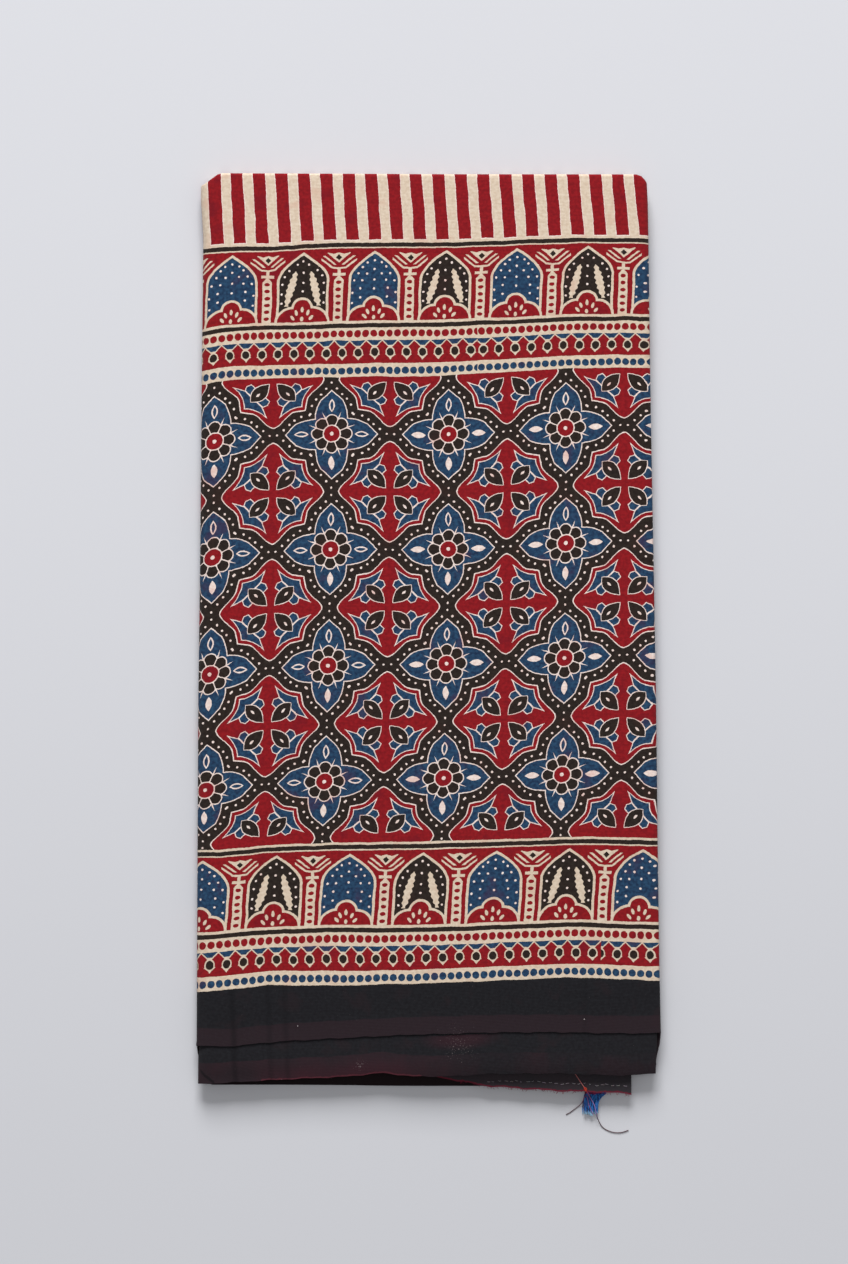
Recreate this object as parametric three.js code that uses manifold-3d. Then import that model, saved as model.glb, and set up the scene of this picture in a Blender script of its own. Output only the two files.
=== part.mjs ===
// A square of block-printed cotton, folded for keeping, with a yarn tassel at one corner.
// The cloth is first folded in half along its length, so that a front and a back half lie
// together and meet in a fold at the top. The doubled cloth is then folded in quarters across
// its width: the outermost quarter wraps round the left side of all the others, and the two
// selvedges end inside, at the right. Eight layers lie on each other, a little apart.
// Millimetres, +X to the right, +Y to the top fold, +Z up, origin on the underside's middle.
import * as THREE from "three";
import { mergeVertices } from "three/addons/utils/BufferGeometryUtils.js";
import Module from "manifold-3d";

const wasm = await Module();
wasm.setup();

// Thickness of the cotton with its nap, and how the layers lie on each other.
const SHEET = 1.0;
const LAYER_STEP = 2.0;
const HALF_STEP = LAYER_STEP / 2;
const DOUBLE_STEP = 2 * LAYER_STEP;
const SKIN = HALF_STEP + SHEET / 2;
const LAYERS = 8;
const STACK_HEIGHT = (LAYERS - 1) * LAYER_STEP + SHEET;

// Folded size: the half width that the folds are laid out in, and the height of the top fold.
const HALF_WIDTH = 139;
const TOP_FOLD = 276.3;

// Side folds. Reach is how far a fold bulges sideways, from its centre line to its tip.
const WRAP_REACH = 9;
const CREASE_REACH = LAYER_STEP;
const WRAP_CENTRE = -HALF_WIDTH + SKIN + WRAP_REACH;
const CREASE_CENTRE = HALF_WIDTH - SKIN - CREASE_REACH;
const INNER_FOLD_CENTRE = -130;
const RIGHT_SELVEDGE = 134;
const INNER_SELVEDGE = 121.8;
// The share of each side fold over which the ends change from one run's to the next one's.
const WRAP_CHANGE = { from: 0, to: 0.45 };
const CREASE_CHANGE = { from: 0.5, to: 1 };
const INNER_CHANGE = { from: 0, to: 1 };

// The runs across the width, in the order in which the cloth takes them. Level counts the
// doubled layers up from the floor, and shy is how much lower than the others its top fold is.
const RUNS = [
  { run: "lowest", level: 0, from: RIGHT_SELVEDGE, to: WRAP_CENTRE, shy: 0.6 },
  { run: "topmost", level: 3, from: WRAP_CENTRE, to: CREASE_CENTRE, shy: 0 },
  { run: "second", level: 2, from: CREASE_CENTRE, to: INNER_FOLD_CENTRE, shy: 1.2 },
  { run: "third", level: 1, from: INNER_FOLD_CENTRE, to: INNER_SELVEDGE, shy: 0.9 },
];

// Where the ends of the cloth lie along the width, as Y. The top layer's front end steps back
// from its back end, and the third run's end slants out from under them, to the right.
const ENDS = [
  { x: -139, topFront: -247.0, topBack: -270.8, third: -262.0, lowest: -271.4 },
  { x: -122, topFront: -248.1, topBack: -269.9, third: -262.0, lowest: -271.4 },
  { x: -88, topFront: -244.7, topBack: -267.8, third: -262.0, lowest: -271.4 },
  { x: -50, topFront: -242.7, topBack: -266.0, third: -262.0, lowest: -271.6 },
  { x: -27, topFront: -241.5, topBack: -263.6, third: -262.0, lowest: -272.0 },
  { x: -8, topFront: -240.6, topBack: -265.8, third: -264.2, lowest: -272.1 },
  { x: 13, topFront: -240.2, topBack: -265.7, third: -267.8, lowest: -272.1 },
  { x: 35, topFront: -239.4, topBack: -264.2, third: -272.0, lowest: -272.1 },
  { x: 77, topFront: -239.2, topBack: -263.9, third: -274.4, lowest: -271.9 },
  { x: 107, topFront: -239.9, topBack: -265.0, third: -275.2, lowest: -269.5 },
  { x: 122, topFront: -240.0, topBack: -265.3, third: -276.5, lowest: -262.0 },
  { x: 139, topFront: -240.0, topBack: -263.4, third: -276.5, lowest: -258.0 },
];
const SECOND_RUN_END = -259;
const THIRD_BACK_SHORTER = 1.6;
const LOWEST_BACK_SHORTER = 0.5;

// The outline as it lies: the left and right sides at some heights.
const OUTLINE = [
  { y: 276, left: -135.0, right: 131.6 },
  { y: 236, left: -134.8, right: 132.6 },
  { y: 140, left: -135.9, right: 133.9 },
  { y: 44, left: -136.7, right: 135.7 },
  { y: -40, left: -137.8, right: 137.2 },
  { y: -130, left: -138.3, right: 138.2 },
  { y: -220, left: -138.6, right: 139.3 },
  { y: -278, left: -138.8, right: 139.8 },
];

// The top fold's two corners are pressed in: how far the fold lies back at some places.
const CORNER_DROP = [
  { x: -140, drop: 7.5 },
  { x: -134, drop: 6.2 },
  { x: -125, drop: 0 },
  { x: 0, drop: 0.6 },
  { x: 127, drop: 0.7 },
  { x: 133, drop: 5.5 },
  { x: 140, drop: 9.0 },
];
const CORNER_DEPTH = 34;

// Soft swells of the stack's top, each a round hump or hollow.
const SWELLS = [
  { x: -70, y: 180, radius: 75, rise: 0.9 },
  { x: 60, y: 120, radius: 85, rise: -0.8 },
  { x: -40, y: 0, radius: 90, rise: 0.7 },
  { x: 85, y: -70, radius: 80, rise: 0.9 },
  { x: -85, y: -150, radius: 80, rise: -0.7 },
  { x: 20, y: -240, radius: 60, rise: 1.1 },
];
// The right side sinks where fewer layers lie under it.
const SINK_START = 104;
const SINK_SHARE = 0.16;

// Steps of the mesh.
const WRAP_STEPS = 10;
const CREASE_STEPS = 6;
const FRONT_STEPS = 12;
const TOP_TURN_STEPS = 6;
const BACK_STEPS = 8;
const STATION_GAP = 1;
const MERGE_DISTANCE = 1e-4;

// Reads a column of a table at a place between its rows.
function column(table, key, name, at) {
  const upward = table[0][key] < table[1][key];
  const rows = upward ? table : [...table].reverse();
  const next = rows.findIndex((row) => row[key] > at);
  if (next === 0) return rows[0][name];
  if (next < 0) return rows[rows.length - 1][name];
  const a = rows[next - 1];
  const b = rows[next];
  return THREE.MathUtils.mapLinear(at, a[key], b[key], a[name], b[name]);
}

const levelHeight = (level) => SKIN + level * DOUBLE_STEP;

// Front and back end of a run's two layers, at a place across the width.
function endsOf(run, x) {
  const at = (name) => column(ENDS, "x", name, x);
  if (run === "topmost") return { front: at("topFront"), back: at("topBack") };
  if (run === "second") return { front: SECOND_RUN_END, back: SECOND_RUN_END };
  if (run === "third") {
    return { front: at("third"), back: at("third") + THIRD_BACK_SHORTER };
  }
  return { front: at("lowest"), back: at("lowest") + LOWEST_BACK_SHORTER };
}

// A run's stations: its middle line across the width, with the normal towards the front half.
function runStations({ run, level, from, to, shy }) {
  const low = Math.min(from, to) + STATION_GAP;
  const high = Math.max(from, to) - STATION_GAP;
  const inside = ENDS.map((row) => row.x).filter((x) => x > low && x < high);
  const places = from < to ? inside : inside.reverse();
  const heading = Math.sign(to - from);
  return [from, ...places, to].map((x) => ({
    x,
    z: levelHeight(level),
    nx: 0,
    nz: heading,
    top: TOP_FOLD - shy,
    ...endsOf(run, x),
  }));
}

// A side fold's stations between two runs, on a half ellipse. Side is -1 at the left and 1 at
// the right, and change is the share of the fold over which its two ends of cloth change.
function foldStations(before, after, reach, side, steps, change) {
  const centre = (before.z + after.z) / 2;
  const rise = Math.abs(after.z - before.z) / 2;
  const turn = Math.sign(after.z - before.z);
  const made = [];
  for (let i = 1; i < steps; i++) {
    const share = i / steps;
    const angle = turn * (share - 0.5) * Math.PI;
    const along = new THREE.Vector2(
      -side * reach * Math.sin(angle) * turn,
      rise * Math.cos(angle) * turn,
    ).normalize();
    const shift = THREE.MathUtils.smoothstep(share, change.from, change.to);
    made.push({
      x: before.x + side * reach * Math.cos(angle),
      z: centre + rise * Math.sin(angle),
      nx: -along.y,
      nz: along.x,
      top: THREE.MathUtils.lerp(before.top, after.top, share),
      front: THREE.MathUtils.lerp(before.front, after.front, shift),
      back: THREE.MathUtils.lerp(before.back, after.back, shift),
    });
  }
  return made;
}

// The whole way across the width: four runs and the three folds that join them.
function sectionStations() {
  const [lowest, topmost, second, third] = RUNS.map(runStations);
  const last = (list) => list[list.length - 1];
  return [
    ...lowest,
    ...foldStations(last(lowest), topmost[0], WRAP_REACH, -1, WRAP_STEPS, WRAP_CHANGE),
    ...topmost,
    ...foldStations(last(topmost), second[0], CREASE_REACH, 1, CREASE_STEPS, CREASE_CHANGE),
    ...second,
    ...foldStations(last(second), third[0], CREASE_REACH, -1, CREASE_STEPS, INNER_CHANGE),
    ...third,
  ];
}

// One line along the cloth's length on one face: up the front half, over the top fold and down
// the back half. Radius is the distance from the middle between the two halves.
function lengthwise(station, radius) {
  const turnCentre = station.top - SKIN;
  const line = [];
  for (let i = 0; i < FRONT_STEPS; i++) {
    const y = THREE.MathUtils.lerp(station.front, turnCentre, i / FRONT_STEPS);
    line.push({ y, out: radius });
  }
  for (let i = 0; i <= TOP_TURN_STEPS; i++) {
    const angle = Math.PI * (0.5 - i / TOP_TURN_STEPS);
    line.push({
      y: turnCentre + radius * Math.cos(angle),
      out: radius * Math.sin(angle),
    });
  }
  for (let i = 1; i <= BACK_STEPS; i++) {
    const y = THREE.MathUtils.lerp(turnCentre, station.back, i / BACK_STEPS);
    line.push({ y, out: -radius });
  }
  return line.map(({ y, out }) => {
    return new THREE.Vector3(
      station.x + station.nx * out,
      y,
      station.z + station.nz * out,
    );
  });
}

// How the folded stack really lies: slanting sides, pressed corners, swells and a sunk side.
// The floor stays flat, because heights only grow and shrink in proportion.
function settle(p) {
  const left = column(OUTLINE, "y", "left", p.y);
  const right = column(OUTLINE, "y", "right", p.y);
  const x = (left + right) / 2 + (p.x / HALF_WIDTH) * ((right - left) / 2);
  const pressed = THREE.MathUtils.smoothstep(p.y, TOP_FOLD - CORNER_DEPTH, TOP_FOLD);
  const y = p.y - pressed * column(CORNER_DROP, "x", "drop", x);
  let rise = 0;
  for (const swell of SWELLS) {
    const away = Math.hypot(x - swell.x, y - swell.y) / swell.radius;
    rise += swell.rise * Math.exp(-away * away);
  }
  const sink = SINK_SHARE * THREE.MathUtils.smoothstep(x, SINK_START, HALF_WIDTH);
  return new THREE.Vector3(x, y, p.z * (1 + rise / STACK_HEIGHT) * (1 - sink));
}

// The cloth as one closed sheet: a face on each side, and a rim round its four edges.
function foldedSheet() {
  const stations = sectionStations();
  const outer = stations.map((s) => lengthwise(s, SKIN).map(settle));
  const inner = stations.map((s) => lengthwise(s, SKIN - SHEET).map(settle));
  const across = stations.length;
  const along = outer[0].length;
  const position = [];
  for (const face of [outer, inner]) {
    face.flat().forEach((p) => position.push(p.x, p.y, p.z));
  }
  const at = (side, i, j) => (side * across + i) * along + j;
  const index = [];
  const quad = (a, b, c, d) => index.push(a, b, c, a, c, d);
  for (let i = 0; i + 1 < across; i++) {
    for (let j = 0; j + 1 < along; j++) {
      quad(at(0, i, j), at(0, i + 1, j), at(0, i + 1, j + 1), at(0, i, j + 1));
      quad(at(1, i, j), at(1, i, j + 1), at(1, i + 1, j + 1), at(1, i + 1, j));
    }
    const j = along - 1;
    quad(at(0, i, 0), at(1, i, 0), at(1, i + 1, 0), at(0, i + 1, 0));
    quad(at(0, i, j), at(0, i + 1, j), at(1, i + 1, j), at(1, i, j));
  }
  for (let j = 0; j + 1 < along; j++) {
    const i = across - 1;
    quad(at(0, 0, j), at(0, 0, j + 1), at(1, 0, j + 1), at(1, 0, j));
    quad(at(0, i, j), at(1, i, j), at(1, i, j + 1), at(0, i, j + 1));
  }
  const geometry = new THREE.BufferGeometry();
  geometry.setAttribute("position", new THREE.Float32BufferAttribute(position, 3));
  geometry.setIndex(index);
  return geometry;
}

// The tassel: rows of yarn ends that leave a flat bound root under the third run's end, turn
// down to the left and lie on the floor and on each other.
const TASSEL = {
  rows: 3,
  perRow: 8,
  yarn: 0.8,
  rootLeft: 96.4,
  rootStep: 1.42,
  tipLeft: 93.8,
  tipStep: 1.12,
  rootY: -274.6,
  bendShift: 0.2,
  bendY: -280.4,
  tipY: -288.6,
  rowHeight: 0.98,
  rootLift: 0.3,
  steps: 6,
};
const ROOT_BLOCK = { left: 95.7, right: 107.3, front: -275.6, back: -272.6, height: 3.6 };
// How much longer or shorter than the rest each yarn of a row is, at its tip.
const TIP_LENGTHS = [0.4, -0.2, 0.9, 0.1, 1.3, 0.6, 1.1, -0.4];
const TIP_SHIFT_PER_ROW = 3;

function solidOf(geometry) {
  const plain = geometry.clone();
  plain.deleteAttribute("normal");
  plain.deleteAttribute("uv");
  const merged = mergeVertices(plain, MERGE_DISTANCE);
  return new wasm.Manifold(
    new wasm.Mesh({
      numProp: 3,
      vertProperties: merged.attributes.position.array,
      triVerts: new Uint32Array(merged.index.array),
    }),
  );
}

function geometryOf(solid) {
  const mesh = solid.getMesh();
  const geometry = new THREE.BufferGeometry();
  geometry.setAttribute(
    "position",
    new THREE.BufferAttribute(new Float32Array(mesh.vertProperties), 3),
  );
  geometry.setIndex(new THREE.BufferAttribute(new Uint32Array(mesh.triVerts), 1));
  return geometry;
}

// One yarn of the tassel, as a four-sided strand that lies level from its bend to its tip.
function yarnStrand(row, place) {
  const t = TASSEL;
  const floor = t.yarn / 2 + row * t.rowHeight;
  const tipX = t.tipLeft + place * t.tipStep;
  const longer = TIP_LENGTHS[(place + TIP_SHIFT_PER_ROW * row) % TIP_LENGTHS.length];
  const points = [
    new THREE.Vector3(t.rootLeft + place * t.rootStep, t.rootY, floor + t.rootLift),
    new THREE.Vector3(tipX + t.bendShift, t.bendY, floor),
    new THREE.Vector3(tipX, t.tipY - longer, floor),
  ];
  const path = new THREE.QuadraticBezierCurve3(...points);
  const section = new THREE.Shape();
  const h = t.yarn / 2;
  section.moveTo(-h, -h).lineTo(h, -h).lineTo(h, h).lineTo(-h, h).closePath();
  return new THREE.ExtrudeGeometry(section, { steps: t.steps, extrudePath: path });
}

function yarnTassel() {
  const r = ROOT_BLOCK;
  const block = new THREE.BoxGeometry(r.right - r.left, r.back - r.front, r.height);
  block.translate((r.left + r.right) / 2, (r.front + r.back) / 2, r.height / 2);
  let tassel = solidOf(block);
  for (let row = 0; row < TASSEL.rows; row++) {
    for (let place = 0; place < TASSEL.perRow; place++) {
      tassel = tassel.add(solidOf(yarnStrand(row, place)));
    }
  }
  return geometryOf(tassel);
}

// The sewing thread that ties the tassel on. The long one comes out from under the top layers,
// crosses the hem, runs down the tassel and ends in a loose tail on the floor.
const THREAD = 0.5;
const THREAD_SIDES = 8;
const THREAD_STEP = 2.5 * THREAD;
const LONG_THREAD = [
  [87.0, -262.2, 7.45],
  [88.7, -264.7, 7.5],
  [91.8, -269.4, 7.55],
  [94.6, -273.6, 7.6],
  [95.6, -275.4, 7.5],
  [96.5, -276.8, 6.3],
  [97.3, -278.3, 4.6],
  [98.6, -280.5, 3.75],
  [100.2, -283.6, 3.45],
  [101.0, -287.0, 3.4],
  [101.9, -290.6, 2.6],
  [103.2, -293.8, 1.0],
  [105.5, -297.2, 0.3],
  [108.7, -299.1, 0.3],
  [112.9, -300.2, 0.3],
  [116.6, -300.1, 0.3],
  [120.8, -298.8, 0.3],
];
// The short one starts on the floor, climbs the tassel's left side, turns at its top and lies
// down its middle.
const SHORT_THREAD = [
  [83.2, -289.4, 0.3],
  [85.2, -288.4, 0.3],
  [87.2, -287.0, 0.3],
  [89.4, -285.4, 0.3],
  [91.3, -283.9, 0.5],
  [92.5, -282.6, 1.6],
  [93.1, -281.6, 3.0],
  [93.6, -280.4, 3.75],
  [94.1, -278.9, 4.0],
  [95.0, -278.0, 4.1],
  [95.9, -278.6, 4.05],
  [96.3, -280.2, 3.8],
  [96.7, -282.6, 3.45],
  [97.8, -285.6, 3.35],
  [99.7, -289.2, 3.3],
];

function threadTube(points) {
  const path = new THREE.CatmullRomCurve3(
    points.map((p) => new THREE.Vector3(...p)),
    false,
    "centripetal",
  );
  const section = new THREE.Shape();
  for (let i = 0; i < THREAD_SIDES; i++) {
    const angle = (2 * Math.PI * i) / THREAD_SIDES;
    const x = (THREAD / 2) * Math.cos(angle);
    const y = (THREAD / 2) * Math.sin(angle);
    if (i === 0) section.moveTo(x, y);
    else section.lineTo(x, y);
  }
  section.closePath();
  const steps = Math.round(path.getLength() / THREAD_STEP);
  return new THREE.ExtrudeGeometry(section, { steps, extrudePath: path });
}

// Colours and finishes.
const printedCotton = new THREE.MeshStandardMaterial({ color: 0x7a1f24, roughness: 0.9 });
const blueYarn = new THREE.MeshStandardMaterial({ color: 0x1d4fa0, roughness: 0.85 });
const redThread = new THREE.MeshStandardMaterial({ color: 0x8a2a2e, roughness: 0.8 });

const folded = new THREE.Group();
const pieces = [
  { name: "cloth", geometry: foldedSheet(), material: printedCotton },
  { name: "tassel", geometry: yarnTassel(), material: blueYarn },
  { name: "thread_long", geometry: threadTube(LONG_THREAD), material: redThread },
  { name: "thread_short", geometry: threadTube(SHORT_THREAD), material: redThread },
];
for (const { name, geometry, material } of pieces) {
  const mesh = new THREE.Mesh(geometry, material);
  mesh.name = name;
  folded.add(mesh);
}

export default folded;
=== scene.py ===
import math
import random

import bpy
import numpy as np
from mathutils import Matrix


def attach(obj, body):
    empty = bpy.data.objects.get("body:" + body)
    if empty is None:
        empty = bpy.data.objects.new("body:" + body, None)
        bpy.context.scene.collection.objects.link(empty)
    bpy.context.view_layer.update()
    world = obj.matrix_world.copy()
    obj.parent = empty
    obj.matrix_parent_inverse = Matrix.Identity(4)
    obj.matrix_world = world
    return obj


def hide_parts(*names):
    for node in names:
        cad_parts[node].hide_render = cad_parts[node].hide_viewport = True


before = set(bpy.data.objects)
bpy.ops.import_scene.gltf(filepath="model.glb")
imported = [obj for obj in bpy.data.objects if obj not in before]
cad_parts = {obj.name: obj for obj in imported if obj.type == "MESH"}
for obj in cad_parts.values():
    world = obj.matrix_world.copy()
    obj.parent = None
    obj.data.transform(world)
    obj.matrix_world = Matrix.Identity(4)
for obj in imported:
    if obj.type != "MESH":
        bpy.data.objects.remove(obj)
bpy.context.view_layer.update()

bpy.ops.object.select_all(action="DESELECT")


# Camera. It looks straight down on the folded cloth from high up through a long lens, so that
# the floor and the top layer are drawn at nearly one scale.
PICTURE_HEIGHT = 0.7584
CAMERA_HEIGHT = 6.0
TOP_OF_STACK = 0.0155
PICTURE_CENTRE = (-0.0022, 0.0009)
SENSOR = 36

bpy.ops.object.camera_add(
    location=(*PICTURE_CENTRE, TOP_OF_STACK + CAMERA_HEIGHT), rotation=(0, 0, 0)
)
camera = bpy.context.object
camera.name = "camera_above"
camera.data.sensor_width = SENSOR
camera.data.lens = SENSOR * CAMERA_HEIGHT / PICTURE_HEIGHT
bpy.context.scene.camera = camera
bpy.context.scene.view_settings.view_transform = "Standard"


# Tie threads. Two ends of a twisted cotton sewing thread, half a millimetre thick, red turning
# mauve. The long one comes from under the top layers, over the raw hem and down the tassel; the
# short one climbs the tassel from the floor, and is knotted on top of it.
THREAD = 0.0005
THREAD_TWIST = 0.0011
LONG_THREAD = [
    (0.0870, -0.2622, 0.00745), (0.0887, -0.2647, 0.00750), (0.0918, -0.2694, 0.00755),
    (0.0946, -0.2736, 0.00760), (0.0956, -0.2754, 0.00750), (0.0965, -0.2768, 0.00630),
    (0.0973, -0.2783, 0.00460), (0.0986, -0.2805, 0.00375), (0.1002, -0.2836, 0.00345),
    (0.1010, -0.2870, 0.00340), (0.1019, -0.2906, 0.00260), (0.1032, -0.2938, 0.00100),
    (0.1055, -0.2972, 0.00030), (0.1087, -0.2991, 0.00030), (0.1129, -0.3002, 0.00030),
    (0.1166, -0.3001, 0.00030), (0.1208, -0.2988, 0.00030),
]
SHORT_THREAD = [
    (0.0832, -0.2894, 0.00030), (0.0852, -0.2884, 0.00030), (0.0872, -0.2870, 0.00030),
    (0.0894, -0.2854, 0.00030), (0.0913, -0.2839, 0.00050), (0.0925, -0.2826, 0.00160),
    (0.0931, -0.2816, 0.00300), (0.0936, -0.2804, 0.00375), (0.0941, -0.2789, 0.00400),
    (0.0950, -0.2780, 0.00410), (0.0959, -0.2786, 0.00405), (0.0963, -0.2802, 0.00380),
    (0.0967, -0.2826, 0.00345), (0.0978, -0.2856, 0.00335), (0.0997, -0.2892, 0.00330),
]


def from_hex(code):
    """A colour as it is seen, turned into the linear one that a shader takes."""
    seen = [int(code[i : i + 2], 16) / 255 for i in (1, 3, 5)]
    return (*[s / 12.92 if s <= 0.04045 else ((s + 0.055) / 1.055) ** 2.4 for s in seen], 1)


def new_finish(name, roughness):
    """A material with its tree, its shader and a rough, dull surface."""
    finish = bpy.data.materials.new(name)
    finish.use_nodes = True
    shader = finish.node_tree.nodes["Principled BSDF"]
    shader.inputs["Roughness"].default_value = roughness
    shader.inputs["Specular IOR Level"].default_value = 0.12
    return finish, finish.node_tree, shader


def twist_bump(tree, place, shader, pitch, depth):
    """The slanting ridges of twisted yarn, as a bump."""
    twist = tree.nodes.new("ShaderNodeTexWave")
    twist.bands_direction = "DIAGONAL"
    twist.inputs["Scale"].default_value = 1 / (pitch * 2 * math.pi)
    tree.links.new(place, twist.inputs["Vector"])
    bump = tree.nodes.new("ShaderNodeBump")
    bump.inputs["Distance"].default_value = depth
    tree.links.new(twist.outputs["Fac"], bump.inputs["Height"])
    tree.links.new(bump.outputs["Normal"], shader.inputs["Normal"])


def fill_ramp(ramp, stops):
    """Gives a colour ramp its stops, each a position and a colour."""
    while len(ramp.elements) < len(stops):
        ramp.elements.new(0.99)
    for element, (position, code) in zip(ramp.elements, stops):
        element.position = position
        element.color = from_hex(code)


def thread_finish(name, axis, dyes_and_shade):
    """Twisted cotton: colours that change along one axis, from the dye and, for the tie threads, from
    painted shade where they lie on the floor; and a fine slanting bump for the ply.
    """
    finish, tree, shader = new_finish(name, 0.85)
    place = tree.nodes.new("ShaderNodeTexCoord").outputs["Object"]
    split = tree.nodes.new("ShaderNodeSeparateXYZ")
    tree.links.new(place, split.inputs["Vector"])
    span = tree.nodes.new("ShaderNodeMapRange")
    span.inputs["From Min"].default_value = dyes_and_shade[0]["at"]
    span.inputs["From Max"].default_value = dyes_and_shade[-1]["at"]
    tree.links.new(split.outputs[axis], span.inputs["Value"])
    dye = tree.nodes.new("ShaderNodeValToRGB")
    start = dyes_and_shade[0]["at"]
    length = dyes_and_shade[-1]["at"] - start
    fill_ramp(dye.color_ramp, [((row["at"] - start) / length, row["dye"]) for row in dyes_and_shade])
    tree.links.new(span.outputs["Result"], dye.inputs["Fac"])
    fade = tree.nodes.new("ShaderNodeTexNoise")
    fade.inputs["Scale"].default_value = 900
    tree.links.new(place, fade.inputs["Vector"])
    faded = tree.nodes.new("ShaderNodeMix")
    faded.data_type = "RGBA"
    faded.blend_type = "OVERLAY"
    faded.inputs["Factor"].default_value = 0.4
    tree.links.new(dye.outputs["Color"], faded.inputs["A"])
    tree.links.new(fade.outputs["Color"], faded.inputs["B"])
    tree.links.new(faded.outputs["Result"], shader.inputs["Base Color"])
    twist_bump(tree, place, shader, THREAD_TWIST, THREAD / 4)
    return finish


def lay_route(line, route, steps):
    """One smooth strand of a curve, with so many steps between the points of its route."""
    spline = line.splines.new("BEZIER")
    spline.resolution_u = steps
    spline.bezier_points.add(len(route) - 1)
    for knot, place in zip(spline.bezier_points, route):
        knot.co = place
        knot.handle_left_type = "AUTO"
        knot.handle_right_type = "AUTO"


def loose_thread(name, route, finish):
    """One free thread, a round curve through its route."""
    line = bpy.data.curves.new(name, "CURVE")
    line.dimensions = "3D"
    line.bevel_depth = THREAD / 2
    line.bevel_resolution = 2
    line.use_fill_caps = True
    lay_route(line, route, 5)
    thread = bpy.data.objects.new(name, line)
    bpy.context.collection.objects.link(thread)
    line.materials.append(finish)
    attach(thread, "root")
    return thread


# Colours along the tie threads: red turning mauve in the dye, and a darker painted shade where they lie
# on the floor in the shadow below the hem and the tassel.
SHADED_ON_FLOOR, ON_TASSEL, ON_HEM = "#55383F", "#9A80BE", "#B0706C"
LONG_DYES_AND_SHADE = [
    {"at": -0.2930, "dye": SHADED_ON_FLOOR},
    {"at": -0.2895, "dye": "#7C6492"},
    {"at": -0.2850, "dye": ON_TASSEL},
    {"at": -0.2785, "dye": "#8E5A86"},
    {"at": -0.2752, "dye": "#A8343A"},
    {"at": -0.2735, "dye": "#C0492F"},
    {"at": -0.2715, "dye": ON_HEM},
    {"at": -0.2620, "dye": "#9A5A5C"},
]
SHORT_DYES_AND_SHADE = [
    {"at": 0.0890, "dye": SHADED_ON_FLOOR},
    {"at": 0.0930, "dye": "#74465C"},
    {"at": 0.0960, "dye": "#7C4A7C"},
    {"at": 0.0997, "dye": "#9A78A8"},
]
long_thread = loose_thread(
    "tie_thread_long", LONG_THREAD, thread_finish("twisted_red_thread", "Y", LONG_DYES_AND_SHADE)
)
short_thread = loose_thread(
    "tie_thread_short", SHORT_THREAD, thread_finish("twisted_mauve_thread", "X", SHORT_DYES_AND_SHADE)
)
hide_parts("thread_long")
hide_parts("thread_short")


# Folded cloth. One length of plain-woven cotton, doubled over the fold at the top and then folded in
# quarters, the outermost quarter wrapping round the left side. It is laid out from the same sizes as
# its solid, on a finer grid, and given its own thickness.
SHEET = 0.0007
LAYER_STEP = 0.002
SKIN = 0.0015
LAYERS_HIGH = 0.015
HALF_WIDTH = 0.139
TOP_FOLD = 0.2763
WRAP_REACH = 0.009
CREASE_REACH = 0.002
WRAP_CENTRE = -HALF_WIDTH + SKIN + WRAP_REACH
CREASE_CENTRE = HALF_WIDTH - SKIN - CREASE_REACH
INNER_FOLD_CENTRE = -0.130
RIGHT_SELVEDGE = 0.134
INNER_SELVEDGE = 0.1218

RUNS = [
    {"run": "lowest", "level": 0, "start": RIGHT_SELVEDGE, "end": WRAP_CENTRE, "shy": 0.0006},
    {"run": "topmost", "level": 3, "start": WRAP_CENTRE, "end": CREASE_CENTRE, "shy": 0},
    {"run": "second", "level": 2, "start": CREASE_CENTRE, "end": INNER_FOLD_CENTRE, "shy": 0.0012},
    {"run": "third", "level": 1, "start": INNER_FOLD_CENTRE, "end": INNER_SELVEDGE, "shy": 0.0009},
]
RUN_STEP = {"lowest": 0.014, "topmost": 0.003, "second": 0.02, "third": 0.004}
WRAP = {"reach": WRAP_REACH, "side": -1, "steps": 22, "change": (0, 0.45)}
CREASE = {"reach": CREASE_REACH, "side": 1, "steps": 10, "change": (0.5, 1)}
INNER_FOLD = {"reach": CREASE_REACH, "side": -1, "steps": 8, "change": (0, 1)}
FRONT_ROWS = 150
TURN_ROWS = 10
BACK_ROWS = 36
BACK_CROWDING = 1.6

# Where the ends of each layer lie along the width.
ENDS = [
    {"x": -0.139, "top_front": -0.2470, "top_back": -0.2708, "third": -0.2620, "lowest": -0.2714},
    {"x": -0.122, "top_front": -0.2481, "top_back": -0.2699, "third": -0.2620, "lowest": -0.2714},
    {"x": -0.088, "top_front": -0.2447, "top_back": -0.2678, "third": -0.2620, "lowest": -0.2714},
    {"x": -0.050, "top_front": -0.2427, "top_back": -0.2660, "third": -0.2620, "lowest": -0.2716},
    {"x": -0.027, "top_front": -0.2415, "top_back": -0.2636, "third": -0.2620, "lowest": -0.2720},
    {"x": -0.008, "top_front": -0.2406, "top_back": -0.2658, "third": -0.2642, "lowest": -0.2721},
    {"x": 0.013, "top_front": -0.2402, "top_back": -0.2657, "third": -0.2678, "lowest": -0.2721},
    {"x": 0.035, "top_front": -0.2394, "top_back": -0.2642, "third": -0.2720, "lowest": -0.2721},
    {"x": 0.077, "top_front": -0.2392, "top_back": -0.2639, "third": -0.2749, "lowest": -0.2719},
    {"x": 0.107, "top_front": -0.2399, "top_back": -0.2650, "third": -0.2758, "lowest": -0.2695},
    {"x": 0.122, "top_front": -0.2400, "top_back": -0.2653, "third": -0.2768, "lowest": -0.2620},
    {"x": 0.139, "top_front": -0.2400, "top_back": -0.2634, "third": -0.2765, "lowest": -0.2580},
]
SECOND_RUN_END = -0.259
THIRD_BACK_SHORTER = 0.0016
LOWEST_BACK_SHORTER = 0.0005
EDGE_RIPPLE = [{"rise": 0.00022, "beat": 290, "start": 0.4}, {"rise": 0.00016, "beat": 611, "start": 0}]

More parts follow.
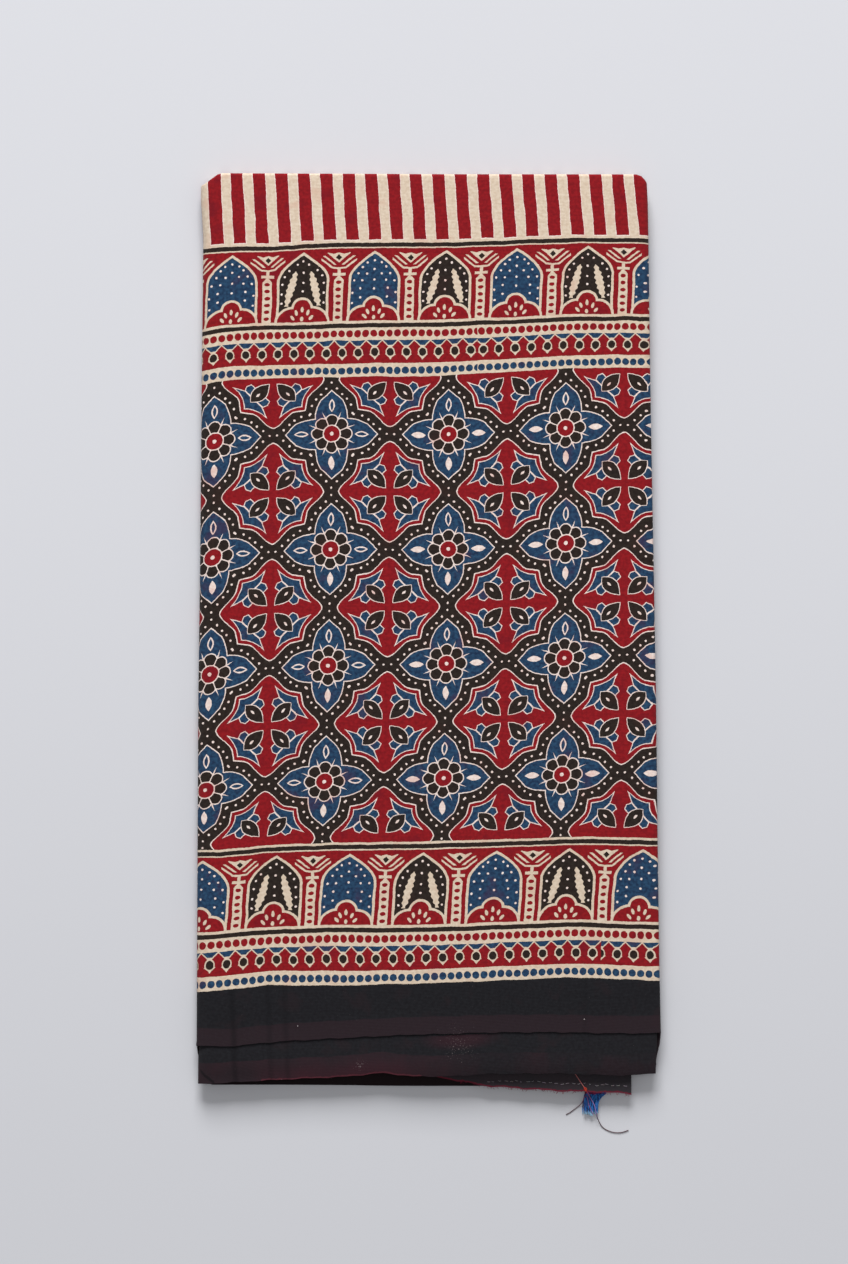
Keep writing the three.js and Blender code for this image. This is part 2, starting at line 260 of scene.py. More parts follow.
# The outline as it lies, the pressed corners of the top fold, and the stack's soft swells.
OUTLINE = [
    {"y": -0.278, "left": -0.1404, "right": 0.1398},
    {"y": -0.252, "left": -0.1401, "right": 0.1395},
    {"y": -0.246, "left": -0.1388, "right": 0.1402},
    {"y": -0.200, "left": -0.1386, "right": 0.1392},
    {"y": -0.130, "left": -0.1383, "right": 0.1382},
    {"y": -0.040, "left": -0.1378, "right": 0.1372},
    {"y": 0.044, "left": -0.1367, "right": 0.1357},
    {"y": 0.140, "left": -0.1359, "right": 0.1339},
    {"y": 0.236, "left": -0.1348, "right": 0.1326},
    {"y": 0.262, "left": -0.1361, "right": 0.1322},
    {"y": 0.276, "left": -0.1362, "right": 0.1316},
]
CORNER_DROP = [
    {"x": -0.140, "drop": 0.0075},
    {"x": -0.134, "drop": 0.0062},
    {"x": -0.125, "drop": 0},
    {"x": 0, "drop": 0.0006},
    {"x": 0.127, "drop": 0.0007},
    {"x": 0.133, "drop": 0.0055},
    {"x": 0.140, "drop": 0.0090},
]
CORNER_DEPTH = 0.034
SWELLS = [
    {"x": -0.070, "y": 0.180, "radius": 0.075, "rise": 0.0009},
    {"x": 0.060, "y": 0.120, "radius": 0.085, "rise": -0.0008},
    {"x": -0.040, "y": 0, "radius": 0.090, "rise": 0.0007},
    {"x": 0.085, "y": -0.070, "radius": 0.080, "rise": 0.0009},
    {"x": -0.085, "y": -0.150, "radius": 0.080, "rise": -0.0007},
    {"x": 0.020, "y": -0.240, "radius": 0.060, "rise": 0.0011},
]
SINK_START = 0.104
SINK_SHARE = 0.16
LAYER_SAG = 0.0003

# Soft creases of the top layer, each from one point to another. A negative rise is a trough.
CREASE_FADE = 0.012
CREASES = [
    {"x1": -0.1155, "y1": -0.207, "x2": -0.1140, "y2": -0.249, "width": 0.0024, "rise": 0.00045},
    {"x1": -0.0958, "y1": -0.205, "x2": -0.0916, "y2": -0.248, "width": 0.0026, "rise": -0.0004},
    {"x1": -0.1190, "y1": 0.276, "x2": -0.1225, "y2": 0.120, "width": 0.0040, "rise": 0.0003},
    {"x1": 0.1150, "y1": 0.276, "x2": 0.1230, "y2": 0.180, "width": 0.0045, "rise": 0.0004},
    {"x1": -0.1300, "y1": 0.100, "x2": 0.1300, "y2": 0.112, "width": 0.0060, "rise": 0.0002},
    {"x1": -0.1300, "y1": -0.120, "x2": 0.1300, "y2": -0.104, "width": 0.0055, "rise": -0.00025},
    {"x1": 0.0350, "y1": -0.190, "x2": 0.0420, "y2": -0.243, "width": 0.0040, "rise": 0.0003},
    {"x1": -0.0200, "y1": -0.200, "x2": -0.0150, "y2": -0.243, "width": 0.0050, "rise": -0.0003},
]


def read(table, place, name, at):
    """A column of a table, read between its rows."""
    return np.interp(at, [row[place] for row in table], [row[name] for row in table])


def smooth(share):
    """An even start and stop, for a share that runs from 0 to 1."""
    share = np.clip(share, 0, 1)
    return share * share * (3 - 2 * share)


def ends_of(run, x):
    """Front and back end of a run's two layers, at some places across the width."""
    ripple = sum(row["rise"] * np.sin(row["beat"] * x + row["start"]) for row in EDGE_RIPPLE)
    if run == "topmost":
        return read(ENDS, "x", "top_front", x) + ripple, read(ENDS, "x", "top_back", x) - ripple
    if run == "second":
        return SECOND_RUN_END + 0 * x, SECOND_RUN_END + 0 * x
    if run == "third":
        end = read(ENDS, "x", "third", x) + 1.5 * ripple
        return end, end + THIRD_BACK_SHORTER
    end = read(ENDS, "x", "lowest", x)
    return end, end + LOWEST_BACK_SHORTER


def flat_run(run, level, start, end, shy):
    """A run's stations across the width, as columns."""
    count = round(abs(end - start) / RUN_STEP[run]) + 1
    x = np.linspace(start, end, count)
    front, back = ends_of(run, x)
    same = np.ones(count)
    return {
        "x": x,
        "z": same * (SKIN + level * 2 * LAYER_STEP),
        "nx": same * 0,
        "nz": same * np.sign(end - start),
        "top": same * (TOP_FOLD - shy),
        "front": front,
        "back": back,
        "run": same * level,
    }


def side_fold(before, after, reach, side, steps, change):
    """The stations of a side fold between two runs, on a half ellipse."""
    old = {name: column[-1] for name, column in before.items()}
    new = {name: column[0] for name, column in after.items()}
    share = np.arange(1, steps) / steps
    rise = abs(new["z"] - old["z"]) / 2
    turn = np.sign(new["z"] - old["z"])
    angle = turn * (share - 0.5) * math.pi
    along_x = -side * reach * np.sin(angle) * turn
    along_z = rise * np.cos(angle) * turn
    length = np.hypot(along_x, along_z)
    shift = smooth((share - change[0]) / (change[1] - change[0]))
    return {
        "x": old["x"] + side * reach * np.cos(angle),
        "z": (old["z"] + new["z"]) / 2 + rise * np.sin(angle),
        "nx": -along_z / length,
        "nz": along_x / length,
        "top": old["top"] + (new["top"] - old["top"]) * share,
        "front": old["front"] + (new["front"] - old["front"]) * shift,
        "back": old["back"] + (new["back"] - old["back"]) * shift,
        "run": np.where(share < 0.5, old["run"], new["run"]),
    }


def slanted(x, y):
    """A place across the straight stack, between the sides as they slant."""
    left = read(OUTLINE, "y", "left", y)
    right = read(OUTLINE, "y", "right", y)
    return (left + right) / 2 + x / HALF_WIDTH * (right - left) / 2


def settle(x, y, z):
    """How the stack really lies: slanting sides, pressed corners, swells and a sunk side."""
    x = slanted(x, y)
    pressed = smooth((y - TOP_FOLD + CORNER_DEPTH) / CORNER_DEPTH)
    y = y - pressed * read(CORNER_DROP, "x", "drop", x)
    rise = 0
    for swell in SWELLS:
        away = np.hypot(x - swell["x"], y - swell["y"]) / swell["radius"]
        rise = rise + swell["rise"] * np.exp(-away * away)
    sink = SINK_SHARE * smooth((x - SINK_START) / (HALF_WIDTH - SINK_START))
    high = z / LAYERS_HIGH
    for crease in CREASES:
        line = np.array([crease["x2"] - crease["x1"], crease["y2"] - crease["y1"]])
        size = np.hypot(*line)
        run = ((x - crease["x1"]) * line[0] + (y - crease["y1"]) * line[1]) / size
        off = ((x - crease["x1"]) * line[1] - (y - crease["y1"]) * line[0]) / size
        past = np.maximum(0, np.abs(run / size - 0.5) - 0.5) * size
        near = np.exp(-((off / crease["width"]) ** 2) - (past / CREASE_FADE) ** 2)
        rise = rise + crease["rise"] * near * smooth(high * 3 - 2)
    # Each layer sags a little on its own, and never below the floor.
    sag = np.sin(31 * x + 900 * z) * np.sin(23 * y + 700 * z + 1.3)
    rise = rise + LAYER_SAG * sag * smooth(high * 4)
    return x, y, z * (1 + rise / LAYERS_HIGH) * (1 - sink)


runs = [flat_run(**row) for row in RUNS]
stations = [
    runs[0],
    side_fold(runs[0], runs[1], **WRAP),
    runs[1],
    side_fold(runs[1], runs[2], **CREASE),
    runs[2],
    side_fold(runs[2], runs[3], **INNER_FOLD),
    runs[3],
]
across = {name: np.concatenate([s[name] for s in stations]) for name in runs[0]}

# How far each station is along the cloth's width, counted from the middle of the top layer.
stepped = np.hypot(np.diff(across["x"]), np.diff(across["z"]))
width_place = np.concatenate([[0], np.cumsum(stepped)])
on_top = len(runs[0]["x"]) + WRAP["steps"] - 1
width_place += across["x"][on_top] - width_place[on_top]

# The rows along the cloth's length, as height in the fold and distance from its middle.
column = {name: values[None, :] for name, values in across.items()}
turn_centre = column["top"] - SKIN
front_share = (np.arange(FRONT_ROWS) / FRONT_ROWS)[:, None]
back_share = 1 - ((1 - np.arange(1, BACK_ROWS + 1) / BACK_ROWS) ** BACK_CROWDING)[:, None]
turn_angle = (math.pi * (0.5 - np.arange(TURN_ROWS + 1) / TURN_ROWS))[:, None]
front_y = column["front"] + (turn_centre - column["front"]) * front_share
back_y = turn_centre + (column["back"] - turn_centre) * back_share
turn_y = turn_centre + SKIN * np.cos(turn_angle)
flat_y = np.concatenate([front_y, turn_y, back_y])
out = np.concatenate(
    [SKIN + 0 * front_y, SKIN * np.sin(turn_angle) + 0 * turn_y, -SKIN + 0 * back_y]
)
arc = SKIN * (math.pi / 2 - np.abs(turn_angle))
print_y = np.concatenate([front_y, turn_centre + arc, back_y])
edge_gap = np.concatenate(
    [front_y - column["front"], turn_y - column["back"], back_y - column["back"]]
)
x, y, z = settle(
    column["x"] + column["nx"] * out, flat_y, column["z"] + column["nz"] * out
)

# Both ends of the topmost run droop. The upper one comes to rest on the layer below it.
FRONT_DROOP = 0.002
FRONT_DROOP_REACH = 0.035
BACK_DROOP = 0.0016
BACK_DROOP_REACH = 0.009
RESTING_GAP = 0.0001
TOPMOST_FROM = 0.0098
TOPMOST_SPAN = 0.0028
on_topmost = smooth((column["z"] - TOPMOST_FROM) / TOPMOST_SPAN)
front_drape = FRONT_DROOP * smooth(1 - edge_gap / FRONT_DROOP_REACH) * (out > 0)
back_drape = BACK_DROOP * smooth((SECOND_RUN_END - flat_y) / BACK_DROOP_REACH) * (out < 0)
drooping = z - on_topmost * (front_drape + back_drape)
front = slice(0, FRONT_ROWS)
back = slice(-1, -1 - BACK_ROWS, -1)
for i in range(z.shape[1]):
    below = np.interp(y[front, i], y[back, i], drooping[back, i])
    resting = np.minimum(z[front, i], below + 2 * SHEET + RESTING_GAP)
    drooping[front, i] = np.maximum(drooping[front, i], resting)
z = drooping

# How the printed rows really lie: how many millimetres each height sags against the middle.
SAG_PLACES = (-0.1375, -0.125, -0.113, -0.095, -0.058, -0.03, 0.004, 0.045, 0.083, 0.118, 0.134)
PRINT_SAG = [
    {"y": -0.210, "sag": (5.3, 4.3, 3.1, 1.1, 1.6, 0.8, 0, -1.8, -3.6, -2.3, -1.4)},
    {"y": -0.178, "sag": (4.8, 4.0, 2.8, 1.4, 0.2, 0.4, 0, -1.6, -3.2, -2.2, -1.4)},
    {"y": -0.128, "sag": (5.3, 5.0, 3.9, 1.9, 0.9, 0.3, 0, -1.4, -2.8, -2.5, -1.8)},
    {"y": -0.087, "sag": (8.0, 6.2, 4.6, 3.3, 1.8, 0.8, 0, -1.2, -2.5, -3.8, -3.3)},
    {"y": -0.018, "sag": (7.2, 5.0, 3.4, 2.2, 0.7, 0.3, 0, -1.8, -3.8, -5.6, -4.9)},
    {"y": 0.050, "sag": (6.4, 3.8, 2.4, 1.3, -0.5, -0.2, 0, -1.7, -3.7, -5.3, -4.9)},
    {"y": 0.119, "sag": (5.8, 3.2, 1.8, 0.6, -1.2, -0.6, 0, -2.1, -4.5, -6.5, -6.2)},
    {"y": 0.158, "sag": (5.5, 3.1, 2.0, 1.7, 1.0, 0.2, 0, -2.2, -4.6, -5.2, -4.9)},
    {"y": 0.185, "sag": (6.3, 3.8, 2.6, 1.8, 0.9, 0.3, 0, -1.6, -3.4, -4.0, -3.5)},
    {"y": 0.233, "sag": (3.9, 3.0, 2.4, 2.3, 0.2, 0, 0, -1.2, -2.6, -2.8, -2.2)},
]


def print_sag(x, y):
    """How much lower than at the middle a printed row lies here."""
    sag = 0 * x
    for i in range(len(SAG_PLACES)):
        peak = [1.0 if j == i else 0.0 for j in range(len(SAG_PLACES))]
        height = np.interp(y, [row["y"] for row in PRINT_SAG], [row["sag"][i] for row in PRINT_SAG])
        sag = sag + np.interp(x, SAG_PLACES, peak) * height
    return sag / 1000


flat_x = np.broadcast_to(column["x"], x.shape)
on_face = np.clip(flat_x, WRAP_CENTRE, CREASE_CENTRE)
print_x = width_place[None, :] + (slanted(on_face, flat_y) - on_face)
pressed = print_y - flat_y + y
print_height = pressed + print_sag(np.clip(x, -0.14, 0.14), flat_y)

rows, columns = x.shape
bpy.ops.mesh.primitive_grid_add(
    x_subdivisions=columns - 1, y_subdivisions=rows - 1, size=1, calc_uvs=True
)
cloth = bpy.context.object
cloth.name = "folded_cloth"
cloth.data.name = "folded_cloth"
cloth.data.vertices.foreach_set("co", np.stack([x, y, z], axis=-1).ravel())


def lay_map(sheet, name, across_map, along_map):
    """A flat map of the cloth: its own width and length at each corner of each face."""
    layer = sheet.data.uv_layers.get(name) or sheet.data.uv_layers.new(name=name)
    corners = np.zeros(len(sheet.data.loops), np.int32)
    sheet.data.loops.foreach_get("vertex_index", corners)
    pairs = np.stack([across_map.ravel()[corners], along_map.ravel()[corners]], axis=-1)
    layer.data.foreach_set("uv", pairs.astype(np.float32).ravel())


cloth.data.uv_layers[0].name = "print"
lay_map(cloth, "print", print_x, print_height)
lay_map(cloth, "hem", np.broadcast_to(column["run"], x.shape), edge_gap)
bpy.ops.object.shade_smooth()
solid = cloth.modifiers.new("thickness", "SOLIDIFY")
solid.thickness = SHEET
solid.offset = -1
bpy.ops.object.modifier_apply(modifier="thickness")


# The print. Resist, madder red, indigo and iron black are stamped with carved blocks, motif by
# motif. Each stamp is a shape in millimetres that is more than nothing inside.
RESIST, CREAM, RED, BLUE, BLACK, HEM = range(6)
DYES = [
    {"ink": "resist", "deep": "#E5CCC2", "thin": "#F6E7DF", "stained": "#DFB2A8"},
    {"ink": "cream", "deep": "#D2BDA6", "thin": "#E1D0BB", "stained": "#D6B49F"},
    {"ink": "madder", "deep": "#7D121A", "thin": "#94181F", "stained": "#74121F"},
    {"ink": "indigo", "deep": "#1B2F4B", "thin": "#2A4C6A", "stained": "#3D2F4B"},
    {"ink": "iron", "deep": "#241B18", "thin": "#2F2722", "stained": "#33231E"},
    {"ink": "hem", "deep": "#1A191D", "thin": "#202024", "stained": "#261E22"},
]


class Reading:
    """A number that the print reads at each point of the cloth, with sums written plainly."""

    def __init__(self, tree, socket):
        self.tree = tree
        self.socket = socket

    def work(self, operation, *others):
        node = self.tree.nodes.new("ShaderNodeMath")
        node.operation = operation
        for place, value in enumerate((self, *others)):
            if isinstance(value, Reading):
                self.tree.links.new(value.socket, node.inputs[place])
            else:
                node.inputs[place].default_value = value
        return Reading(self.tree, node.outputs[0])

    def __add__(self, other):
        return self.work("ADD", other)

    def __sub__(self, other):
        return self.work("SUBTRACT", other)

    def __rsub__(self, other):
        return self.work("MULTIPLY_ADD", -1, other)

    def __mul__(self, other):
        return self.work("MULTIPLY", other)

    def __lt__(self, other):
        return self.work("LESS_THAN", other)

    def __gt__(self, other):
        return self.work("GREATER_THAN", other)

    def size(self):
        return self.work("ABSOLUTE")

    def squared(self):
        return self.work("MULTIPLY", self)

    def least(self, other):
        return self.work("MINIMUM", other)

    def most(self, other):
        return self.work("MAXIMUM", other)

    def fold(self, pitch):
        """Distance from the nearest whole number of pitches."""
        return self.work("PINGPONG", pitch / 2)


def point(x, y):
    """Two readings as one place."""
    node = x.tree.nodes.new("ShaderNodeCombineXYZ")
    x.tree.links.new(x.socket, node.inputs[0])
    x.tree.links.new(y.socket, node.inputs[1])
    return Reading(x.tree, node.outputs[0])


def axes(place):
    """The first two numbers of a place."""
    node = place.tree.nodes.new("ShaderNodeSeparateXYZ")
    place.tree.links.new(place.socket, node.inputs["Vector"])
    return Reading(place.tree, node.outputs["X"]), Reading(place.tree, node.outputs["Y"])


def away(place, x, y):
    """Distance of a place from a fixed point."""
    node = place.tree.nodes.new("ShaderNodeVectorMath")
    node.operation = "DISTANCE"
    place.tree.links.new(place.socket, node.inputs[0])
    node.inputs[1].default_value = (x, y, 0)
    return Reading(place.tree, node.outputs["Value"])


def nearest(place, points):
    """Distance to the nearest of some points."""
    found = away(place, *points[0])
    for x, y in points[1:]:
        found = found.least(away(place, x, y))
    return found


def choose(where, inside, outside):
    """One reading where the first is 1, and another where it is 0."""
    node = where.tree.nodes.new("ShaderNodeMix")
    where.tree.links.new(where.socket, node.inputs["Factor"])
    for name, value in (("A", outside), ("B", inside)):
        if isinstance(value, Reading):
            where.tree.links.new(value.socket, node.inputs[name])
        else:
            node.inputs[name].default_value = value
    return Reading(where.tree, node.outputs["Result"])


def stamp(ink, new_ink, shape):
    """The print so far, with a new ink wherever the shape is more than nothing."""
    return choose(shape > 0, new_ink, ink)


# The field: flowers of four blue petals, and between them red four-sided medallions with a lily
# in each quarter, on a black ground with a string of dots round every medallion.
FLOWER_PLACE = (12.6, 119.0)
FIELD_PITCH = (70.2, 68.7)
HALF_PITCH = 35
FLOWERS_HEIGHT = 205.8
WIDER_BELOW = 0.0145
SHIFT_BELOW = 3.3
# The sine of 45 degrees, and the cosine and sine of 22.5 degrees.
DIAGONAL = 0.7071
RAY_TURN = (0.9239, 0.3827)
LINE = 0.53
DOT = 0.68
DOT_STRING = [(35.1, 2.1), (31.8, 6.1), (28.6, 9.8), (25.8, 12.9), (23.4, 16.7), (22.5, 21.9)]


def print_field(u, v):
    """The field's ink at each point. Its blocks stand a little wider apart lower down."""
    low = ((FLOWER_PLACE[1] - v) * (1 / FLOWERS_HEIGHT)).most(0)
    spread = u * (1 - low * WIDER_BELOW) + low.squared() * SHIFT_BELOW
    from_column = (spread - FLOWER_PLACE[0]).fold(FIELD_PITCH[0])
    from_row = (v - FLOWER_PLACE[1]).fold(FIELD_PITCH[1]) * (FIELD_PITCH[0] / FIELD_PITCH[1])
    upright = from_row > from_column
    p = from_column.most(from_row)
    q = from_column.least(from_row)

    # The medallion, as far from its middle as far_side and near_side.
    far_side = HALF_PITCH - q
    near_side = HALF_PITCH - p
    ink = stamp(BLACK, RESIST, DOT - nearest(point(far_side, near_side), DOT_STRING))
    wave = (near_side.least(13) * (math.pi / 13)).work("COSINE")
    rim = wave * 3.8 + 26.6 - near_side * 0.19 - far_side
    ink = stamp(ink, RESIST, rim + 0.35)
    ink = stamp(ink, RED, rim - 0.35)

    # Its lily: two blue side petals, two blue wings and a black bud with a seed.
    e = (far_side + near_side) * DIAGONAL
    f = (far_side - near_side) * DIAGONAL
    wing_back = (17.3 - near_side).most(0).squared() * 0.036 + 17.3 - far_side
    wing = wing_back.least(near_side * 0.938 + far_side * 0.347 - 11.6).least(e - 16.2)
    ink = stamp(ink, RESIST, wing)
    ink = stamp(ink, BLUE, wing - LINE)
    leaf = (9 - f - (e - 13.5).size() * 0.42).least(e - 10.6).least(16.4 - e)
    ink = stamp(ink, RESIST, leaf)
    ink = stamp(ink, BLUE, leaf - LINE)
    past = e - 12
    bud = 4.5 - past.squared() * 0.055 - past.most(0).squared() * 0.035 - f
    ink = stamp(ink, RESIST, bud)
    ink = stamp(ink, BLACK, bud - LINE)
    ink = stamp(ink, RESIST, (e - 12.6).squared() * -0.25 + 0.65 - f)
    ink = stamp(ink, RED, (rim - 0.5).least(-121.2 - v))

    # The flower: long petals that meet in the field's grid, thin rays and a round middle.
    place = point(p, q)
    petal = (24 - away(place, 9.5, -14.35)).least((27.6 - p) * 0.731 - q * 0.682)
    ink = stamp(ink, RESIST, petal + 0.3)
    ink = stamp(ink, BLUE, petal - 0.3)
    seed = (p - 18).squared() * -0.1 + 1.85 - q
    ink = stamp(ink, RESIST, seed)
    upper = (v - FLOWER_PLACE[1]).work("WRAP", FIELD_PITCH[1] / 2, -FIELD_PITCH[1] / 2) > 0
    hollow = choose(upright, upper, u < -15)
    ink = stamp(ink, BLUE, (seed - 0.85).least(hollow - 0.5))
    a = p * RAY_TURN[0] + q * RAY_TURN[1]
    b = (q * RAY_TURN[0] - p * RAY_TURN[1]).size()
    ink = stamp(ink, RESIST, (a * -0.1 + 1.5 - b).least(a - 8))
    ring = away(point(a, b), 7.67, 3.18)
    ink = stamp(ink, RESIST, 4.0 - ring)
    ink = stamp(ink, BLACK, (3.35 - ring).least(b - 0.28))
    middle = away(place, 0, 0)
    ink = stamp(ink, RESIST, 5.5 - middle)
    ink = stamp(ink, RED, 4.85 - middle)
    return stamp(ink, RESIST, 1.15 - middle)


# The end border: pointed arches, blue and black in turn, between beaded columns on red; then
# rows of dots, drops and blue triangles.
ARCH_PITCH = 42.95
ARCHES_END = 47.2
BEAD_PITCH = 4.36
NOTCH_PITCH = 3.3
DOT_PITCH = 4.97
DROP_PITCH = 10
STRIPE_PITCH = 13.43
BLUE_ARCH_DOTS = [
    (0, 9.6), (4.4, 11.0), (7.0, 13.6), (0, 15.0), (4.2, 17.8), (9.4, 17.6), (12.2, 22.2),
    (7.1, 22.0), (0, 21.6), (8.3, 27.0), (0, 27.4), (13.2, 29.6), (8.2, 32.4), (13.0, 36.0),
]
BLACK_ARCH_DOTS = [
    (3.5, 11.4), (8.5, 15.0), (11.2, 18.6), (12.4, 23.4), (12.8, 29.5),
    (12.9, 35.2), (0, 9.2), (0, 16.3), (0, 22.8), (0, 28.1),
]


def print_arches(along, down, half_width):
    """The arches' ink, by distance along the border and down from its first black line."""
    ink = stamp(CREAM, RED, (down - 2.1).least(ARCHES_END - down))
    x = along.fold(ARCH_PITCH)
    black = along.fold(2 * ARCH_PITCH) < ARCH_PITCH / 2

    # The column between two arches: a flower on a stem, and a beaded shaft.
    aside = ARCH_PITCH / 2 - x
    outer_ray = 0.54 - (aside * 0.62 + down * 0.78 - 13.4).size()
    ink = stamp(ink, CREAM, outer_ray.least(10.6 - aside).least(14.4 - down))
    inner_ray = 0.54 - (aside * 0.64 + down * 0.77 - 10.9).size()
    ink = stamp(ink, CREAM, inner_ray.least(down - 6.6).least(12.2 - down))
    ink = stamp(ink, CREAM, (4.2 - aside).least(0.55 - (down - 14.4 + aside * 0.1).size()))
    cup = (11.1 - down - aside * 0.87).least(down - aside.fold(6.4) * 0.3 - 4.7)
    ink = stamp(ink, CREAM, cup)
    ink = stamp(ink, BLACK, 1.9 - aside - (down - 7.8).size())
    ink = stamp(ink, CREAM, (0.9 - aside).least(down - 13.9).least(18 - down))
    ink = stamp(ink, CREAM, (3.8 - aside).least(0.85 - (down - 18.2).size()))
    shoulder = (down - 19.2) * 0.85 + 0.7 - aside
    ink = stamp(ink, CREAM, shoulder.least(2.8 - aside).least(down - 18.4))
    bead = 1 - away(point(aside * 0.6, (down - 23).fold(BEAD_PITCH) * 0.86), 0, 0)
    ink = stamp(ink, RED, bead.least(down - 21.2).least(46.6 - down))

    # The arch, its filling and the hill at its foot.
    climb = ((down - 5.6) * (1 / 16)).least(1)
    half = (1 - (1 - climb).work("POWER", 1.8)) * half_width
    arch = (half - x) * (climb * 0.45 + 0.55)
    ink = stamp(ink, CREAM, arch + 1.5)
    ink = stamp(ink, choose(black, BLACK, BLUE), arch)
    place = point(x, down)
    ink = stamp(ink, RESIST, (DOT - nearest(place, BLUE_ARCH_DOTS)).least(0.5 - black))
    ink = stamp(ink, RESIST, (DOT - nearest(place, BLACK_ARCH_DOTS)).least(black - 0.5))
    notches = (down * (2 * math.pi / NOTCH_PITCH)).work("SINE") * 0.38
    leaf_edge = notches + 2.25 - (down - 26.5).squared() * 0.013
    leaf = leaf_edge - (x - (down - 16.4) * 0.25 - 4.8).size()
    ink = stamp(ink, CREAM, leaf.least(down - 15.5).least(37 - down).least(black - 0.5))
    hill = (5.3 - away(place, 0, 38.6)).most(8.9 - away(place, 6.0, 47.6))
    ink = stamp(ink, CREAM, hill + 1.5)
    ink = stamp(ink, RED, hill)
    turned = x.work("ARCTAN2", 49 - down)
    reach = away(place, 0, 49)
    seed = away(point((reach + turned * 2.7 - 9.6) * 0.6, turned.fold(0.43) * reach * 1.15), 0, 0)
    ink = stamp(ink, CREAM, (1.05 - seed).least(1.0 - turned))
    ink = stamp(ink, CREAM, 1.0 - away(point(x, (down - 45.2) * 0.7), 0, 0))

    ink = stamp(ink, CREAM, down - ARCHES_END)
    ink = stamp(ink, BLACK, 1.42 - (down - 50.3).size())
    return stamp(ink, BLACK, 1.3 - down.size())


def print_rows(ink, along, down):
    """The rows under the arches: red dots, triangles and drops on red, and blue dots."""
    dot = along.fold(DOT_PITCH)
    x = along.fold(DROP_PITCH)
    ink = stamp(ink, RED, 2.12 - away(point(dot, (down - 55.3) * 0.93), 0, 0))
    ink = stamp(ink, RED, down - 59.0)
    veil = 5.9 - (down - 59.2) - x
    ink = stamp(ink, CREAM, veil.least(64.4 - down).least(down - 59))
    ink = stamp(ink, BLUE, (4.65 - (down - 59.5) - x).least(62.7 - down).least(down - 59.5))
    rim = 3.5 - away(point(x * 1.2, down - 67.1), 0, 0)
    foot = (71.9 - down - x * 1.3).least(down - 68)
    barb = 3.3 - x - (down - 68.6).size() * 1.4
    ink = stamp(ink, CREAM, rim.most(foot).most(barb))
    ink = stamp(ink, BLACK, 2.55 - away(point(x * 1.13, down - 67.1), 0, 0))
    ink = stamp(ink, CREAM, down - 73.9)
    return stamp(ink, BLUE, 2.15 - away(point(dot, (down - 78.4) * 0.95), 0, 0))


def print_stripes(u, down):
    """Red stripes on cream at the top end, with a stained rim."""
    leaning = u - (u * 0.007 + 2.8) * (down * (1 / 42) + 1)
    from_stripe = (leaning + 127.9).fold(STRIPE_PITCH)
    ink = stamp(CREAM, RESIST, 4.1 - from_stripe)
    return stamp(ink, RED, (3.7 - from_stripe).least(-3.3 - down))


def cloud(place, size, detail=2):
    """Cloudy noise, with spots of about that size in millimetres."""
    noise = place.tree.nodes.new("ShaderNodeTexNoise")
    noise.inputs["Scale"].default_value = 1 / size
    noise.inputs["Detail"].default_value = detail
    place.tree.links.new(place.socket, noise.inputs["Vector"])
    return noise


def spots(place, size, detail):
    """How strong such noise is at each point."""
    return Reading(place.tree, cloud(place, size, detail).outputs["Fac"])


def wander(place, size, by):
    """A place that wanders, as a hand-set block and its edges do."""
    noise = cloud(place, size)
    tree = place.tree
    from_middle = tree.nodes.new("ShaderNodeVectorMath")
    from_middle.operation = "SUBTRACT"
    tree.links.new(noise.outputs["Color"], from_middle.inputs[0])
    from_middle.inputs[1].default_value = (0.5, 0.5, 0.5)
    moved = tree.nodes.new("ShaderNodeVectorMath")
    moved.operation = "MULTIPLY_ADD"
    tree.links.new(from_middle.outputs[0], moved.inputs[0])
    moved.inputs[1].default_value = (by, by, 0)
    tree.links.new(place.socket, moved.inputs[2])
    return Reading(tree, moved.outputs[0])


def soft_step(value, low, high, top=1):
    """From 0 at the low value to the top at the high one."""
    node = value.tree.nodes.new("ShaderNodeMapRange")
    node.interpolation_type = "SMOOTHSTEP"
    value.tree.links.new(value.socket, node.inputs["Value"])
    node.inputs["From Min"].default_value = low
    node.inputs["From Max"].default_value = high
    node.inputs["To Max"].default_value = top
    return Reading(value.tree, node.outputs["Result"])


def tint(share, base, over, blend="MIX"):
    """One colour over another by a share."""
    node = share.tree.nodes.new("ShaderNodeMix")
    node.data_type = "RGBA"
    node.blend_type = blend
    share.tree.links.new(share.socket, node.inputs["Factor"])
    for name, value in (("A", base), ("B", over)):
        if isinstance(value, str):
            node.inputs[name].default_value = from_hex(value)
        else:
            share.tree.links.new(value, node.inputs[name])
    return node.outputs["Result"]


def dyes_of(ink, strength):
    """The colour of each ink, at one strength of its dye."""
    share = (ink + 0.5) * (1 / len(DYES))
    ramp = ink.tree.nodes.new("ShaderNodeValToRGB")
    ramp.color_ramp.interpolation = "CONSTANT"
    fill_ramp(ramp.color_ramp, [(i / len(DYES), row[strength]) for i, row in enumerate(DYES)])
    ink.tree.links.new(share.socket, ramp.inputs["Fac"])
    return ramp.outputs["Color"]


cotton, tree, shader = new_finish("block_printed_cotton", 0.88)
shader.inputs["Sheen Weight"].default_value = 0.03
shader.inputs["Sheen Roughness"].default_value = 0.6
flat_map = tree.nodes.new("ShaderNodeUVMap")
flat_map.uv_map = "print"
in_millimetres = tree.nodes.new("ShaderNodeVectorMath")
in_millimetres.operation = "SCALE"
in_millimetres.inputs["Scale"].default_value = 1000
tree.links.new(flat_map.outputs["UV"], in_millimetres.inputs[0])
cloth_place = Reading(tree, in_millimetres.outputs[0])
u, v = axes(wander(wander(cloth_place, 13, 1.5), 1.3, 0.55))

